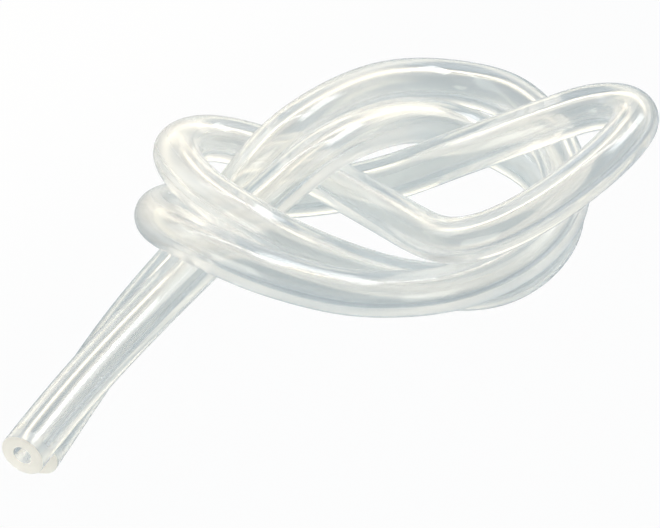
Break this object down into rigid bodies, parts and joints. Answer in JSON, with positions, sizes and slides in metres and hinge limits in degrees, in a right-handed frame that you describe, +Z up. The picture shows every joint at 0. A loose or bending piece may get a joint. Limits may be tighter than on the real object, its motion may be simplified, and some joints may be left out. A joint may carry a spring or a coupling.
{
  "type": "silicone tubing",
  "caption": "Clear thick-walled silicone tube, doubled over and tied in a loose overhand knot, with its bore open at the cut ends, for carrying fluid between small lab fittings.",
  "frame": {"origin": "on the surface that the tube lies on, under the middle of the knot's box", "axes": "+X to the right, towards the loop; +Y to the back, away from the cut ends; +Z up"},
  "size_m": [0.1542, 0.138, 0.0426],
  "materials": {
    "clear_silicone": "clear, slightly milky, smooth"
  },
  "bodies": {
    "root": {"silicone_tube": "clear_silicone"}
  },
  "joints": []
}
